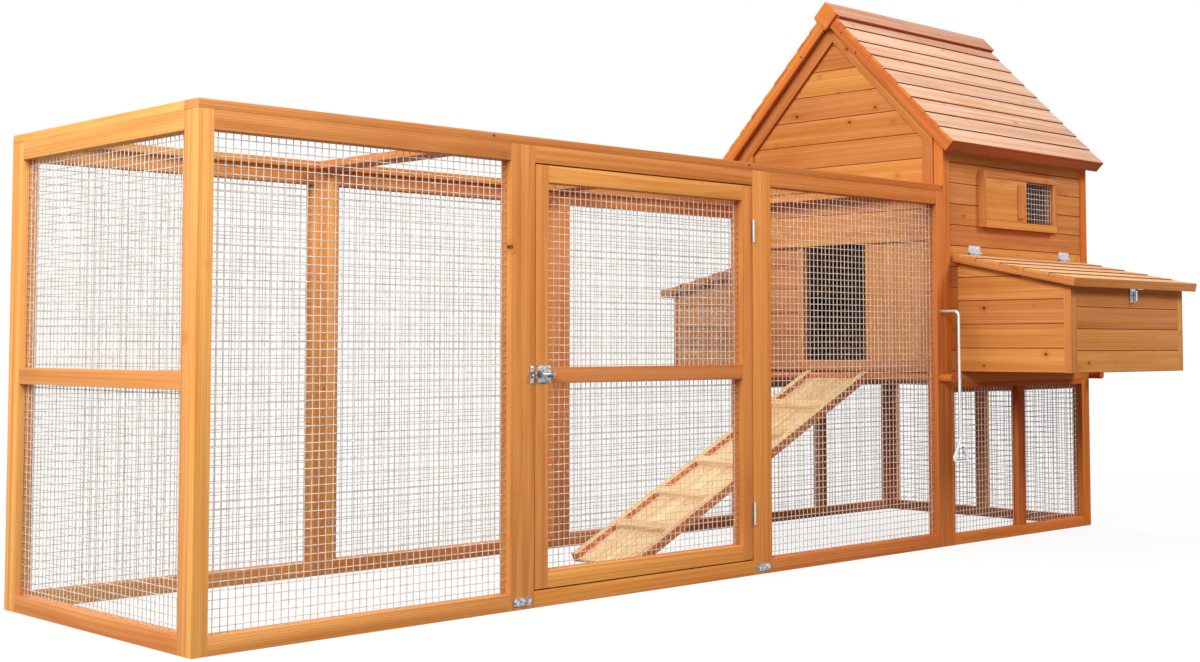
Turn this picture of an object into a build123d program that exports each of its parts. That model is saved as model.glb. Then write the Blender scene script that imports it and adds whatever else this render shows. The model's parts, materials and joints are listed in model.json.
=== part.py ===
from build123d import *
import math
import os

# A wooden hen house on four posts, with a long wire-mesh run in front of its pop door.
# Millimetres. X runs along the length with the house at +X, the front faces -Y and +Z is up.
# The origin is on the ground, under the middle of the outline.

# Overall sizes
bay = 776.0               # length of each run panel, and of the house
run_bays = 3              # run panels along each side
depth = 762.0             # front face to back face
run_height = 1000.0       # ground to the top of the run
house_floor = 480.0       # ground to the top of the floor frame
wall_height = 649.0       # boarded height of the long walls
roof_pitch = 45.0         # degrees

# Run panels: an outer frame, a sheet of mesh and an inner frame that holds it
stile = 34.0              # width of the upright members
top_rail = 37.0
low_rail = 35.0
outer_t = 15.0
mesh_t = 2.0
inner_t = 17.0
mid_rail = 34.0
mid_rail_z = 473.0        # underside of the middle rail of the end panel and the door
mesh_lap = 4.0            # how far the mesh runs in under the frame
mesh_pitch = 64.0
mesh_wire = 3.0
cap_t = 18.0              # boards laid flat on top of the panels
cap_w = 50.0
fit_gap = 0.5             # clearance round a loose sheet or a sliding panel

# Run door and its hardware
door_gap = 3.0
door_stile = 36.0
door_rail = 37.0
hinge_r = 3.4
hinge_pin_r = 1.7
hinge_len = 54.0
hinge_inset = 83.0        # door edge to the near end of each hinge
hinge_stand = 0.2         # knuckles to the door's front face
hinge_leaf_w = 26.0
leaf_t = 1.2
pin_clear = 0.05
knuckle_gap = 0.3
bolt_r = 4.0
bolt_z = 492.0
bolt_throw = 18.0
bolt_plate_w = 38.0
bolt_plate_h = 38.0
plate_t = 1.5
guide_w = 4.0
guide_side = 3.0          # metal left round the bolt in its guides
bolt_knob_r = 3.0
bolt_knob_len = 14.0

# Connector plates across the panel seams
link_w = 52.0
link_h = 17.0
link_z = 16.5
link_t = 2.0
link_bolt_r = 4.5
link_bolt_h = 3.0
link_bolt_space = 32.0

# House carcass
post = 30.0
floor_rail = 31.0
plate_rise = 30.0         # wall boards to the roof, at the outer face
board_t = 12.0
board_face = 6.0          # boards sit this far behind the posts
board_bevel = 1.6
board_least = 6.0         # a thinner strip than this joins the board below it
side_pitch = 59.0         # board height on the long sides
end_pitch = 72.0          # board height on the end walls
end_first = 27.0          # lowest board of the end walls
floor_t = 12.0
trim_t = 12.0
trim_w = 72.0             # roof plane to the lower edge of the gable trim
corner_trim_w = 36.0

# Roof
slat_t = 11.0
slat_pitch = 65.0
slat_gap = 1.5
slat_taper = 3.0          # each slat is thinner at its upper edge
eave = 56.0               # roof edge beyond the long walls
gable_overhang = 30.0
barge_t = 12.0
barge_w = 27.0
far_barge_w = 25.0
fascia_t = 15.0
fascia_h = 25.0
ridge_t = 9.0
ridge_w = 57.0
ridge_block = 60.0
ridge_block_t = 10.0

# Space under the house
under_stile = 14.0
under_rail = 30.0
under_top = 14.0
under_inner_top = 26.0
under_inner_t = 6.0
under_mullion = 40.0
pole_r = 12.0
pole_out = 38.0           # poles stand this far out of the front and the back
pole_drop = 17.0          # pole centre below the floor frame's top
pole_clear = 0.3

# Sliding panels and their guides
panel_t = 8.0
lip_t = 10.0
lip_lap = 12.0

# Pop door in the gable wall, measured from the front face and from the floor frame's top
pop_open_start = 272.0
pop_open_w = 224.0
pop_sill = 31.0
pop_open_h = 337.0
pop_door_start = 38.0
pop_door_w = 232.0
pop_travel = 228.0
pop_rail_start = 36.0
pop_rail_end = 122.0      # back face to the far end of the rails
pop_rail_h = 34.0
stop_w = 21.0

# Ramp
ramp_len = 1049.0         # pole to toe
ramp_start = 251.0        # front face to its near side
ramp_w = 226.0
ramp_eye_r = 16.0         # eyes round the pole, as high as the rails' tops
ramp_rail_t = 20.0
ramp_rail_low = 7.0       # middle line to the rails' lower edge
ramp_toe_gap = 3.0
ramp_clear = 1.0          # house to the ramp's eyes
ramp_deck_t = 9.0
ramp_deck_top = 2.0
ramp_deck_start = 13.5    # pole's middle to the deck
cleat_w = 30.0
cleat_start = 153.0       # toe to the lowest cleat
cleat_pitch = 171.5
cleat_count = 5

# Window in the front wall, measured from the house's left end and from the floor frame's top
win_start = 185.0
win_len = 416.0
win_z = 412.0
win_h = 163.0
win_side = 12.0
win_far_side = 23.0
win_far_t = 6.0
win_sill = 22.0
win_head = 18.0
win_mesh_w = 157.0
lining_w = 18.0
shutter_w = 215.5
shutter_sunk = 1.5        # its raised field behind the guide lips
grip_w = 26.0
grip_h = 101.0
grip_t = 8.0
grip_inset = 21.0

# Nest boxes on both long walls
nest_len = 625.0
nest_depth = 348.0
nest_post_w = 30.0
nest_post_d = 22.0
nest_side_pitch = 66.0
nest_floor_t = 12.0
nest_divider_h = 180.0
nest_pass_h = 236.0       # floor frame's top to the head of the way in from the house
lid_pitch = 11.8          # degrees
lid_rise = 333.0          # floor frame's top to the lid's top at the wall
lid_slats = 5
lid_slat_t = 11.0
lid_rim_t = 13.0
lid_rim_w = 24.0
lid_rim_gap = 3.0
lid_side = 31.0           # lid beyond the box at each end
lid_seat = 0.4
lid_hinge_r = 3.6
lid_hinge_pin_r = 1.6
lid_hinge_len = 58.0
lid_hinge_left = 55.0     # box end to the near end of each hinge
lid_hinge_right = 27.0
lid_leaf_h = 21.0
lid_leaf_drop = 1.0       # lid leaf below the lid's top, clear of the wall knuckles
lid_axis_in = 2.2         # hinge axis behind the front face
lid_axis_up = 2.5         # hinge axis above the lid's top at the wall
lid_edge = 1.3

# Turn latch on each nest box
latch_offset = 16.0       # from the middle of the box
latch_drop = 24.0         # lid rim to the middle of the latch
latch_plate = 34.0
stem_r = 3.0
stem_len = 9.0
turn_len = 30.0
turn_w = 9.0
turn_t = 4.0
tongue_w = 32.0
tongue_len = 40.0
tongue_slot = 12.0
tongue_gap = 3.0          # box face to the tongue

# Hooked rod that hangs in the house-end stile
rod_r = 4.5
rod_in = 20.0             # rod centre from the house's left end
rod_z = 168.0             # above the floor frame's top
rod_seat = 14.0
rod_out = 60.0
rod_drop = 352.0
rod_bend = 14.0
loop_bend = 8.0
loop_left = 34.0
loop_right = 43.0
loop_drop = 56.0
loop_slant = 2.0
loop_end = 13.0
loop_end_drop = 22.0

# Places that follow from the sizes
length = (run_bays + 1) * bay + 2 * pole_r
x_left = -length / 2
x_house = x_left + run_bays * bay
x_far = x_house + bay
y_front = -depth / 2
y_back = depth / 2
panel_top = run_height - cap_t
frame_d = outer_t + mesh_t + inner_t
boards_in = board_face + board_t
pitch = math.radians(roof_pitch)
slat_rise = slat_t / math.cos(pitch)
wall_top = house_floor + wall_height
ridge_z = wall_top + plate_rise + slat_rise + depth / 2 * math.tan(pitch)
slope_len = (depth / 2 + eave) / math.cos(pitch)
roof_x0 = x_house - gable_overhang
roof_x1 = x_far + barge_t
pole_z = house_floor - pole_drop
pole_x = x_house - ramp_eye_r - ramp_clear
nest_x0 = x_house + (bay - nest_len) / 2
nest_x1 = nest_x0 + nest_len
y_nest = y_front - nest_depth
lid_tilt = math.radians(lid_pitch)
lid_z = house_floor + lid_rise
lid_t = lid_slat_t + lid_rim_t
rim_start = (nest_depth + lid_rim_gap + lid_t * math.sin(lid_tilt)) / math.cos(lid_tilt)
lid_len = rim_start + lid_rim_w
lid_x0 = nest_x0 - lid_side
lid_x1 = nest_x1 + lid_side
door_x0 = x_left + bay + stile + door_gap
door_x1 = x_left + 2 * bay - stile - door_gap
door_z0 = low_rail + door_gap
door_z1 = panel_top - top_rail - door_gap
panel_out = board_face - fit_gap - panel_t   # outer face of a sliding panel
lip_in = panel_out - fit_gap                 # inner face of the guide lips


# Walls: each turns a place along the wall, a depth in from its face and a height into a point
def front(u, d, z):
    return (u, y_front + d, z)


def back(u, d, z):
    return (u, y_back - d, z)


def run_end(u, d, z):
    return (x_left + d, u, z)


def gable(u, d, z):
    return (x_house + d, u, z)


def far_end(u, d, z):
    return (x_far - d, u, z)


def nest_face(u, d, z):
    return (u, y_nest + d, z)


def nest_left(u, d, z):
    return (nest_x0 + d, u, z)


def nest_right(u, d, z):
    return (nest_x1 - d, u, z)


def block(x, y, z):
    """A box between the given pairs of X, Y and Z."""
    middle = Pos(sum(x) / 2, sum(y) / 2, sum(z) / 2)
    return middle * Box(abs(x[1] - x[0]), abs(y[1] - y[0]), abs(z[1] - z[0]))


def piece(wall, u, d, z):
    """A box on a wall, between pairs of places, depths and heights."""
    low = wall(u[0], d[0], z[0])
    high = wall(u[1], d[1], z[1])
    return block(*zip(low, high))


def span(middle, size):
    """Both ends of a size that is set about its middle."""
    return (middle - size / 2, middle + size / 2)


def cut_off(y, low, top):
    """Outline in Y and Z of a piece that stands on low and is cut off by a sloping top."""
    return [(y[0], low), (y[1], low), (y[1], top(y[1])), (y[0], top(y[0]))]


def prism(points, path):
    """A flat outline, given as points in space, drawn out along a vector."""
    return Solid.extrude(Face(Wire.make_polygon(points, close=True)), Vector(*path))


def round_bar(start, end, radius):
    """A straight round bar between two points."""
    along = Vector(*end) - Vector(*start)
    return Plane(origin=start, z_dir=along) * extrude(Circle(radius), along.length)


def mirrored(parts):
    """The same pieces on the back of the coop."""
    return [mirror(part, about=Plane.XZ) for part in parts]


def save(node, parts):
    """Writes one sub-part, made of one or more separate solids."""
    solids = [solid for part in parts for solid in part.solids()]
    shape = solids[0] if len(solids) == 1 else Compound(solids)
    export_step(shape, "parts/" + node + ".step")


def frame(wall, u, d, z, stiles, rails):
    """Two uprights of full height with a low and a high rail between them."""
    inner = (u[0] + stiles[0], u[1] - stiles[1])
    parts = [piece(wall, inner, d, (z[0], z[0] + rails[0]))]
    parts.append(piece(wall, inner, d, (z[1] - rails[1], z[1])))
    if stiles[0]:
        parts.append(piece(wall, (u[0], inner[0]), d, z))
    if stiles[1]:
        parts.append(piece(wall, (inner[1], u[1]), d, z))
    return parts


def mesh_sheet(wall, u, d, z):
    """A flat sheet of square mesh: one face with a grid of gaps."""
    width = u[1] - u[0]
    height = z[1] - z[0]
    columns = max(1, round(width / mesh_pitch))
    rows = max(1, round(height / mesh_pitch))
    step_u = width / columns
    step_z = height / rows
    gap = Rectangle(step_u - mesh_wire, step_z - mesh_wire)
    sheet = Rectangle(width, height) - GridLocations(step_u, step_z, columns, rows) * gap
    origin = Vector(*wall(sum(u) / 2, d, sum(z) / 2))
    along = Vector(*wall(u[1], 0, 0)) - Vector(*wall(u[0], 0, 0))
    inward = Vector(*wall(0, 1, 0)) - Vector(*wall(0, 0, 0))
    return Plane(origin=origin, x_dir=along, z_dir=inward) * extrude(sheet, mesh_t)


def board(wall, u, z, face):
    """One V-jointed board, bevelled along its two long outer edges."""
    deep = face + board_t
    outline = [(face, z[0] + board_bevel), (face + board_bevel, z[0]), (deep, z[0])]
    outline += [(deep, z[1]), (face + board_bevel, z[1]), (face, z[1] - board_bevel)]
    points = [wall(u[0], d, h) for d, h in outline]
    path = Vector(*wall(u[1], 0, 0)) - Vector(*wall(u[0], 0, 0))
    return prism(points, path)


def board_rows(u, low, high, first, step):
    """The boards of a wall from the bottom up, as pairs of places and heights."""
    joints = [low]
    joint = low + first
    while joint < high - board_least:
        joints.append(joint)
        joint += step
    joints.append(high)
    return [(u, rise) for rise in zip(joints, joints[1:])]


def cut_around(rows, hole_u, hole_z):
    """Splits the boards that an opening meets into the pieces round it."""
    pieces = []
    for u, z in rows:
        if z[1] <= hole_z[0] or z[0] >= hole_z[1]:
            pieces.append((u, z))
            continue
        pieces.append(((u[0], hole_u[0]), z))
        pieces.append(((hole_u[1], u[1]), z))
        if z[0] < hole_z[0]:
            pieces.append((hole_u, (z[0], hole_z[0])))
        if z[1] > hole_z[1]:
            pieces.append((hole_u, (hole_z[1], z[1])))
    return pieces


def roof_under(y):
    """Height of the underside of the roof slats."""
    return ridge_z - abs(y) * math.tan(pitch) - slat_rise


def on_slope(side, s, h):
    """Y and Z of a point s down the slope from the ridge and h above the slats."""
    y = s * math.cos(pitch) + h * math.sin(pitch)
    return (side * y, ridge_z - s * math.sin(pitch) + h * math.cos(pitch))


def slope_prism(x, outline):
    """An outline in Y and Z, drawn out along X."""
    return prism([(x[0], y, z) for y, z in outline], (x[1] - x[0], 0, 0))


def slope_piece(side, x, s, h):
    """A square-edged piece that lies along one roof slope."""
    corners = [(s[0], h[0]), (s[1], h[0]), (s[1], h[1]), (s[0], h[1])]
    return slope_prism(x, [on_slope(side, *corner) for corner in corners])


def on_lid(t, h):
    """Y and Z of a point t out from the front face along the nest lid and h above it."""
    y = y_front - t * math.cos(lid_tilt) - h * math.sin(lid_tilt)
    return (y, lid_z - t * math.sin(lid_tilt) + h * math.cos(lid_tilt))


def lid_piece(x, t, h):
    """A square-edged piece that lies along the nest lid."""
    corners = [(t[0], h[0]), (t[1], h[0]), (t[1], h[1]), (t[0], h[1])]
    return slope_prism(x, [on_lid(*corner) for corner in corners])


def lid_under(y):
    """Height at which the nest box stops below the lid's slats."""
    drop = (y_front - y) * math.tan(lid_tilt)
    return lid_z - drop - lid_slat_t / math.cos(lid_tilt) - lid_seat


os.makedirs("parts", exist_ok=True)

# Poles that run through under both ends of the house
pole_ys = (y_front - pole_out, y_back + pole_out)
poles = []
for x in (pole_x, x_far + pole_r):
    poles.append(round_bar((x, pole_ys[0], pole_z), (x, pole_ys[1], pole_z), pole_r))
pole_hole = round_bar((pole_x, pole_ys[0], pole_z), (pole_x, pole_ys[1], pole_z), pole_r + pole_clear)
save("support_poles", poles)

# Hooked rod and its hole in the front stile beside the house
rod_x = x_house - rod_in
rod_top = house_floor + rod_z
rod_y = y_front - rod_out
rod_low = rod_top - rod_drop
rod_points = [(rod_x, y_front + rod_seat, rod_top), (rod_x, rod_y, rod_top), (rod_x, rod_y, rod_low)]
rod_points.append((rod_x - loop_left, rod_y, rod_low - loop_drop))
rod_points.append((rod_x + loop_right, rod_y, rod_low - loop_drop - loop_slant))
rod_points.append((rod_x + loop_end, rod_y, rod_low - loop_end_drop))
rod_path = FilletPolyline(*rod_points, radius=[rod_bend, rod_bend, loop_bend, loop_bend])
rod_section = Plane(origin=rod_points[0], z_dir=(0, -1, 0)) * Circle(rod_r)
save("pull_rod", [sweep(rod_section, path=rod_path)])
rod_hole = round_bar((rod_x, y_front, rod_top), (rod_x, y_front + outer_t, rod_top), rod_r + pin_clear)


def seams(index):
    """Both ends of one bay of the run."""
    return (x_left + index * bay, x_left + (index + 1) * bay)


def bay_frames(wall, index):
    """Outer and inner frame of one panel; the end panel's upright closes the first one."""
    u = seams(index)
    z = (0, panel_top)
    rails = (low_rail, top_rail)
    outer = frame(wall, u, (0, outer_t), z, (stile, stile), rails)
    held = (outer_t + mesh_t, frame_d)
    if index == 0:
        return outer + frame(wall, (u[0] + frame_d, u[1]), held, z, (0, stile), rails)
    return outer + frame(wall, u, held, z, (stile, stile), rails)


def bay_mesh(wall, index):
    """The mesh of one panel, held round its edge between the two frames."""
    u = seams(index)
    start = u[0] + frame_d if index == 0 else u[0] + stile - mesh_lap
    rise = (low_rail - mesh_lap, panel_top - top_rail + mesh_lap)
    return mesh_sheet(wall, (start, u[1] - stile + mesh_lap), outer_t, rise)


# Long sides of the run; the second front panel is a plain surround for the door
last = run_bays - 1
save("front_frame_1", bay_frames(front, 0))
save("front_mesh_1", [bay_mesh(front, 0)])
surround = frame(front, seams(1), (0, frame_d), (0, panel_top), (stile, stile), (low_rail, top_rail))
save("front_frame_2", surround)
save("front_frame_3", [part - pole_hole - rod_hole for part in bay_frames(front, last)])
save("front_mesh_3", [bay_mesh(front, last) - pole_hole])
save("back_frame_1", bay_frames(back, 0))
save("back_frame_2", bay_frames(back, 1))
save("back_frame_3", [part - pole_hole for part in bay_frames(back, last)])
save("back_mesh", [bay_mesh(back, index) - pole_hole for index in range(run_bays)])

# End panel of the run, between the long sides
end_u = (y_front + outer_t, y_back - outer_t)
end_inner = (end_u[0] + stile, end_u[1] - stile)
mid_z = (mid_rail_z, mid_rail_z + mid_rail)
end_parts = []
for layer in ((0, outer_t), (outer_t + mesh_t, frame_d)):
    end_parts += frame(run_end, end_u, layer, (0, panel_top), (stile, stile), (low_rail, top_rail))
    end_parts.append(piece(run_end, end_inner, layer, mid_z))
save("end_frame", end_parts)
end_mesh_u = (end_inner[0] - mesh_lap, end_inner[1] + mesh_lap)
end_mesh_z = (low_rail - mesh_lap, panel_top - top_rail + mesh_lap)
save("end_mesh", [mesh_sheet(run_end, end_mesh_u, outer_t, end_mesh_z)])

# Flat boards on top of the run, which is open between them
cap_z = (panel_top, run_height)
caps = [block((x_left, x_house), (y_front, y_front + cap_w), cap_z)]
caps += mirrored(caps)
between_caps = (y_front + cap_w, y_back - cap_w)
caps.append(block((x_left, x_left + cap_w), between_caps, cap_z))
caps.append(block((x_house - cap_w, x_house), between_caps, cap_z))
save("run_caps", caps)
inner_seams = [x_left + index * bay for index in range(1, run_bays)]
cross_boards = [block((seam - stile, seam + stile), between_caps, cap_z) for seam in inner_seams]
save("run_cross_boards", cross_boards)

# Connector plates across the seams of the run
links = []
link_bolts = []
for seam in inner_seams:
    link_plane = Plane(origin=(seam, y_front, link_z), x_dir=(1, 0, 0), z_dir=(0, -1, 0))
    links.append(link_plane * extrude(SlotOverall(link_w, link_h), link_t))
    for side in (-1, 1):
        x = seam + side * link_bolt_space / 2
        head = (x, y_front - link_t - link_bolt_h, link_z)
        link_bolts.append(round_bar((x, y_front - link_t, link_z), head, link_bolt_r))
save("connector_plates", links + mirrored(links))
save("connector_bolts", link_bolts + mirrored(link_bolts))

# Run door: two frames with the mesh between them
door_u = (door_x0, door_x1)
door_z = (door_z0, door_z1)
door_inner = (door_x0 + door_stile, door_x1 - door_stile)
door_parts = []
for layer in ((0, outer_t), (outer_t + mesh_t, frame_d)):
    door_parts += frame(front, door_u, layer, door_z, (door_stile, door_stile), (door_rail, door_rail))
    door_parts.append(piece(front, door_inner, layer, mid_z))
save("door_frame", door_parts)
door_mesh_u = (door_inner[0] - mesh_lap, door_inner[1] + mesh_lap)
door_mesh_z = (door_z0 + door_rail - mesh_lap, door_z1 - door_rail + mesh_lap)
save("door_mesh", [mesh_sheet(front, door_mesh_u, outer_t, door_mesh_z)])

# Door hinges: leaves in the gap, knuckles standing out in front of it
axis_x = door_x1 + door_gap / 2
axis_y = y_front - hinge_r - hinge_stand
frame_edge = door_x1 + door_gap
leaf_front = y_front + knuckle_gap
leaf_back = y_front + hinge_leaf_w
knuckle = (hinge_len - 2 * knuckle_gap) / 3


def hinge_leaf(x, z, reach):
    """Part of a flat leaf that lies in the gap beside the door."""
    return block(x, (axis_y if reach else leaf_front, leaf_back), z)


fixed_hinges = []
door_hinges = []
for low in (door_z0 + hinge_inset, door_z1 - hinge_inset - hinge_len):
    mid = (low + knuckle + knuckle_gap, low + hinge_len - knuckle - knuckle_gap)
    ends = [(low, low + knuckle), (low + hinge_len - knuckle, low + hinge_len)]
    fixed = round_bar((axis_x, axis_y, low), (axis_x, axis_y, low + hinge_len), hinge_pin_r)
    fixed_x = (frame_edge - leaf_t, frame_edge)
    moving_x = (door_x1, door_x1 + leaf_t)
    fixed += hinge_leaf(fixed_x, (low, low + hinge_len), False)
    moving = hinge_leaf(moving_x, (low, low + hinge_len), False)
    moving += hinge_leaf(moving_x, mid, True)
    moving += round_bar((axis_x, axis_y, mid[0]), (axis_x, axis_y, mid[1]), hinge_r)
    for end in ends:
        fixed += hinge_leaf(fixed_x, end, True)
        fixed += round_bar((axis_x, axis_y, end[0]), (axis_x, axis_y, end[1]), hinge_r)
    bore = round_bar((axis_x, axis_y, low), (axis_x, axis_y, low + hinge_len), hinge_pin_r + pin_clear)
    fixed_hinges.append(fixed)
    door_hinges.append(moving - bore)
save("door_hinge_fixed", fixed_hinges)
save("door_hinge_leaf", door_hinges)

# Door bolt: drawn back on the door, with its keeper on the surround
bolt_x0 = door_x0 + door_gap
bolt_x1 = bolt_x0 + bolt_plate_w
bolt_y = y_front - plate_t - guide_side - bolt_r
guide_y = (y_front - plate_t, bolt_y - bolt_r - guide_side)
guide_z = (bolt_z - bolt_r - guide_side, bolt_z + bolt_r + guide_side)
plate_z = (bolt_z - bolt_plate_h / 2, bolt_z + bolt_plate_h / 2)
bolt_line = round_bar((x_left, bolt_y, bolt_z), (x_house, bolt_y, bolt_z), bolt_r + pin_clear)
bolt_base = block((bolt_x0, bolt_x1), (y_front - plate_t, y_front), plate_z)
bolt_base += block((bolt_x0, bolt_x0 + guide_w), guide_y, guide_z)
bolt_base += block((bolt_x1 - guide_w, bolt_x1), guide_y, guide_z)
save("bolt_plate", [bolt_base - bolt_line])
bolt_tip = door_x0 + fit_gap
knob_x = bolt_x1 - guide_w - bolt_knob_r - fit_gap
knob_end = (knob_x, bolt_y - bolt_knob_len, bolt_z)
bolt_bar = round_bar((bolt_tip, bolt_y, bolt_z), (bolt_x1, bolt_y, bolt_z), bolt_r)
bolt_bar += round_bar((knob_x, bolt_y, bolt_z), knob_end, bolt_knob_r)
save("bolt_bar", [bolt_bar])
keeper_x = (bolt_tip - bolt_throw, x_left + bay + stile - door_gap)
keeper = block(keeper_x, (y_front - plate_t, y_front), plate_z)
keeper += block(span(sum(keeper_x) / 2, guide_w), guide_y, guide_z)
keeper_bore = round_bar((x_left, bolt_y, bolt_z), (x_house, bolt_y, bolt_z), bolt_r + fit_gap)
save("bolt_keeper", [keeper - keeper_bore])

# House posts, sloped off under the roof
posts = []
for x in ((x_house, x_house + post), (x_far - post, x_far)):
    posts.append(slope_prism(x, cut_off((y_front, y_front + post), 0, roof_under)))
save("house_posts", posts + mirrored(posts))

# Floor frame, wall plates and floor
inner_x = (x_house + post, x_far - post)
inner_y = (y_front + post, y_back - post)
rail_z = (house_floor - floor_rail, house_floor)
long_rails = [piece(front, inner_x, (0, post), rail_z)]
long_rails.append(slope_prism(inner_x, cut_off((y_front, inner_y[0]), wall_top, roof_under)))
end_rails = [piece(wall, inner_y, (0, post), rail_z) for wall in (gable, far_end)]
save("house_rails", long_rails + mirrored(long_rails) + end_rails)
floor_x = (x_house + boards_in, x_far - boards_in)
floor_y = (y_front + boards_in, y_back - boards_in)
floor = block(floor_x, floor_y, (house_floor, house_floor + floor_t))
for part in posts + mirrored(posts):
    floor = floor - part
save("house_floor", [floor])

# Boarded walls
win_x0 = x_house + win_start
win_x1 = win_x0 + win_len
win_z0 = house_floor + win_z
win_z1 = win_z0 + win_h
pane_x1 = win_x1 - win_far_side
pane_u = (pane_x1 - win_mesh_w, pane_x1)
pane_z = (win_z0 + win_sill, win_z1 - win_head)
pass_u = (nest_x0 + board_t, nest_x1 - board_t)
pass_z = (house_floor + nest_floor_t, house_floor + nest_pass_h)
side_rows = board_rows(inner_x, house_floor, wall_top, side_pitch, side_pitch)
side_rows = cut_around(side_rows, pass_u, pass_z)
front_rows = cut_around(side_rows, pane_u, pane_z)
save("front_boards", [board(front, u, z, board_face) for u, z in front_rows])
save("back_boards", [board(back, u, z, board_face) for u, z in side_rows])
pop_u = (y_front + pop_open_start, y_front + pop_open_start + pop_open_w)
pop_z = (house_floor + pop_sill, house_floor + pop_sill + pop_open_h)
attic_outline = [(inner_y[0], house_floor), (inner_y[1], house_floor), (inner_y[1], roof_under(inner_y[1]))]
attic_outline += [(0, roof_under(0)), (inner_y[0], roof_under(inner_y[0]))]
attic = slope_prism((x_house, x_far), attic_outline)
end_rows = board_rows(inner_y, house_floor, roof_under(0), end_first, end_pitch)
gable_rows = cut_around(end_rows, pop_u, pop_z)
save("gable_boards", [board(gable, u, z, board_face) & attic for u, z in gable_rows])
save("far_boards", [board(far_end, u, z, board_face) & attic for u, z in end_rows])

# Trim on the gable wall: along the roof, and upright beside the posts above the run
trim_drop = trim_w / math.cos(pitch)
trim_x = (x_house + board_face - trim_t, x_house + board_face)


def trim_low(y):
    """Height of the lower edge of the sloping trim."""
    return ridge_z - trim_drop - abs(y) * math.tan(pitch)


slope_outline = [(0, roof_under(0)), (0, trim_low(0))]
slope_outline += [(inner_y[0], trim_low(inner_y[0])), (inner_y[0], roof_under(inner_y[0]))]
upright_y = (inner_y[0], inner_y[0] + corner_trim_w)
gable_trim = [slope_prism(trim_x, slope_outline)]
gable_trim.append(slope_prism(trim_x, cut_off(upright_y, run_height, trim_low)))
save("gable_trim", gable_trim + mirrored(gable_trim))

# Roof slats, from the eave up to the ridge
roof_x = (roof_x0, roof_x1)
slat_stop = slat_t * math.tan(pitch) + slat_gap
slats = []
low_edge = slope_len
while low_edge > slat_stop + slat_t:
    high_edge = max(low_edge - slat_pitch + slat_gap, slat_stop)
    corners = [(high_edge, -slat_t), (low_edge, -slat_t), (low_edge, 0), (high_edge, -slat_taper)]
    slats.append(slope_prism(roof_x, [on_slope(-1, *corner) for corner in corners]))
    low_edge -= slat_pitch
save("roof_slats_front", slats)
save("roof_slats_back", mirrored(slats))


# Barge boards at both ends, fascias along the eaves
def barge(x, width):
    """A board under the ends of the slats, from the ridge down to the eave."""
    low = -slat_t - width
    outline = [(0, roof_under(0)), (0, ridge_z + low / math.cos(pitch))]
    outline += [on_slope(-1, slope_len, low), on_slope(-1, slope_len, -slat_t)]
    return slope_prism(x, outline)


barges = [barge((roof_x0, roof_x0 + barge_t), barge_w), barge((roof_x1 - barge_t, roof_x1), far_barge_w)]
save("barge_boards", barges + mirrored(barges))
fascia_x = (roof_x0 + barge_t, roof_x1 - barge_t)
fascia = [slope_piece(-1, fascia_x, (slope_len - fascia_t, slope_len), (-slat_t - fascia_h, -slat_t))]
save("eave_fascias", fascia + mirrored(fascia))

# Ridge cap and the square blocks that close its ends
ridge_top = ridge_z + ridge_t / math.cos(pitch)
cap_outline = [(0, ridge_z), (0, ridge_top), on_slope(-1, ridge_w, ridge_t), on_slope(-1, ridge_w, 0)]
ridge_cap = [slope_prism(roof_x, cap_outline)]
save("ridge_cap", ridge_cap + mirrored(ridge_cap))
half_w = ridge_block * math.cos(pitch)
half_h = ridge_block * math.sin(pitch)
middle_z = ridge_top - half_h
diamond = [(0, ridge_top), (half_w, middle_z), (0, middle_z - half_h), (-half_w, middle_z)]
block_xs = ((roof_x0 - ridge_block_t, roof_x0), (roof_x1, roof_x1 + ridge_block_t))
save("ridge_blocks", [slope_prism(x, diamond) for x in block_xs])

# Mesh panels under the house, on the three outer sides
under_z = (0, house_floor - floor_rail)
under_frames = []
under_mesh = []
for wall, u in ((front, inner_x), (back, inner_x), (far_end, inner_y)):
    open_u = (u[0] + under_stile, u[1] - under_stile)
    open_z = (under_rail, under_z[1] - under_top)
    mullion_u = span(sum(u) / 2, under_mullion)
    for start, thick, top in ((0, outer_t, under_top), (outer_t + mesh_t, under_inner_t, under_inner_top)):
        layer = (start, start + thick)
        under_frames += frame(wall, u, layer, under_z, (under_stile, under_stile), (under_rail, top))
        under_frames.append(piece(wall, mullion_u, layer, (under_rail, under_z[1] - top)))
    sheet_u = (open_u[0] - mesh_lap, open_u[1] + mesh_lap)
    sheet_z = (open_z[0] - mesh_lap, open_z[1] + mesh_lap)
    under_mesh.append(mesh_sheet(wall, sheet_u, outer_t, sheet_z))
save("underhouse_frames", under_frames)
save("underhouse_mesh", under_mesh)

# Window: side strips, a head and a sill whose lips hold the sliding shutter, and a lining behind the boards
lip_d = (lip_in - lip_t, lip_in)
spacer_d = (lip_in, board_face)
strip_d = (lip_in - lip_t, board_face)
slot_x = (win_x0 + win_side, win_x1 - win_far_side)
shutter_z = (win_z0 + win_sill - lip_lap + fit_gap, win_z1 - win_head + lip_lap - fit_gap)
window = [piece(front, (win_x0, slot_x[0]), strip_d, (win_z0, win_z1))]
window.append(piece(front, (slot_x[1], win_x1), (board_face - win_far_t, board_face), (win_z0, win_z1)))
window.append(piece(front, slot_x, lip_d, (win_z0, win_z0 + win_sill)))
window.append(piece(front, slot_x, lip_d, (win_z1 - win_head, win_z1)))
window.append(piece(front, slot_x, spacer_d, (win_z0, shutter_z[0] - fit_gap)))
window.append(piece(front, slot_x, spacer_d, (shutter_z[1] + fit_gap, win_z1)))
lining_d = (boards_in, post)
lining_z = (pane_z[0] - lining_w, pane_z[1] + lining_w)
for x in ((pane_u[0] - lining_w, pane_u[0]), (pane_u[1], pane_u[1] + lining_w)):
    window.append(piece(front, x, lining_d, lining_z))
for z in ((lining_z[0], pane_z[0]), (pane_z[1], lining_z[1])):
    window.append(piece(front, pane_u, lining_d, z))
save("window_frame", window)
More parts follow.
